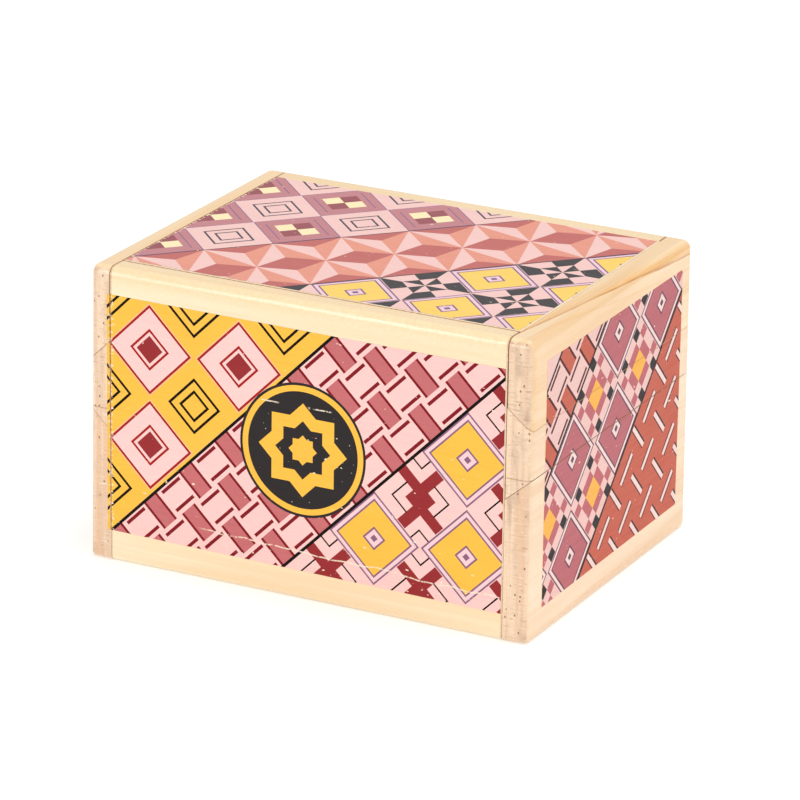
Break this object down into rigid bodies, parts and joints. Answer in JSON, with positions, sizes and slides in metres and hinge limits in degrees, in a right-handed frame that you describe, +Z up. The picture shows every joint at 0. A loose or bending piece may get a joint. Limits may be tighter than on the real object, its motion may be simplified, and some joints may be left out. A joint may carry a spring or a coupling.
{
  "type": "wooden puzzle box",
  "caption": "Rectangular wooden puzzle box with a sliding lid, sliding dovetail keys in both end boards, drop pins and a hidden compartment.",
  "frame": {"origin": "middle of the underside, where the box stands", "axes": "+X along the long side towards the end that the lid slides out of, +Y from front to back, +Z up"},
  "size_m": [0.079, 0.06, 0.05],
  "materials": {
    "printed_panel": "satin lacquer over printed geometric marquetry, bare pine at the borders",
    "plain_panel": "sanded pine, clear satin",
    "end_board": "sanded pine with end grain at the front and back, clear satin",
    "inner_wood": "bare plywood and basswood",
    "batten": "bare basswood",
    "key_block": "bare hardwood",
    "steel_pin": "ground steel"
  },
  "bodies": {
    "casing": {"front_panel": "printed_panel", "back_panel": "printed_panel", "bottom_panel": "plain_panel", "left_lower_rail": "end_board", "left_upper_rail": "end_board", "right_lower_rail": "end_board", "left_liner_lower": "inner_wood", "left_liner_upper": "inner_wood", "left_liner_front_infill": "inner_wood", "left_liner_back_infill": "inner_wood", "right_liner_lower": "inner_wood", "right_liner_upper": "inner_wood", "right_liner_front_infill": "inner_wood", "right_liner_back_infill": "inner_wood", "left_partition": "inner_wood", "right_partition": "inner_wood", "front_pin_block": "inner_wood", "back_pin_block": "inner_wood", "front_stop_block": "inner_wood", "back_stop_block": "inner_wood"},
    "lid": {"top_panel": "printed_panel", "right_upper_rail": "end_board", "lid_batten_left_front": "batten", "lid_batten_left_back": "batten", "lid_batten_right": "batten"},
    "left_key": {"left_dovetail_key": "end_board", "left_key_tongue": "key_block", "left_key_catch": "key_block"},
    "right_key": {"right_dovetail_key": "end_board", "right_key_tongue": "key_block", "right_key_catch": "key_block"},
    "front_pin": {"front_drop_pin": "steel_pin"},
    "back_pin": {"back_drop_pin": "steel_pin"}
  },
  "joints": [
    {"name": "lid_slide", "type": "slide", "parent": "casing", "child": "lid", "axis": [1, 0, 0], "range_m": [0, 0.0505]},
    {"name": "left_key_slide", "type": "slide", "parent": "casing", "child": "left_key", "axis": [0, 1, 0], "range_m": [0, 0.006]},
    {"name": "right_key_slide", "type": "slide", "parent": "casing", "child": "right_key", "axis": [0, -1, 0], "range_m": [0, 0.006]},
    {"name": "front_pin_drop", "type": "slide", "parent": "casing", "child": "front_pin", "axis": [0, 0, 1], "range_m": [0, 0.003]},
    {"name": "back_pin_drop", "type": "slide", "parent": "casing", "child": "back_pin", "axis": [0, 0, 1], "range_m": [0, 0.003]}
  ]
}
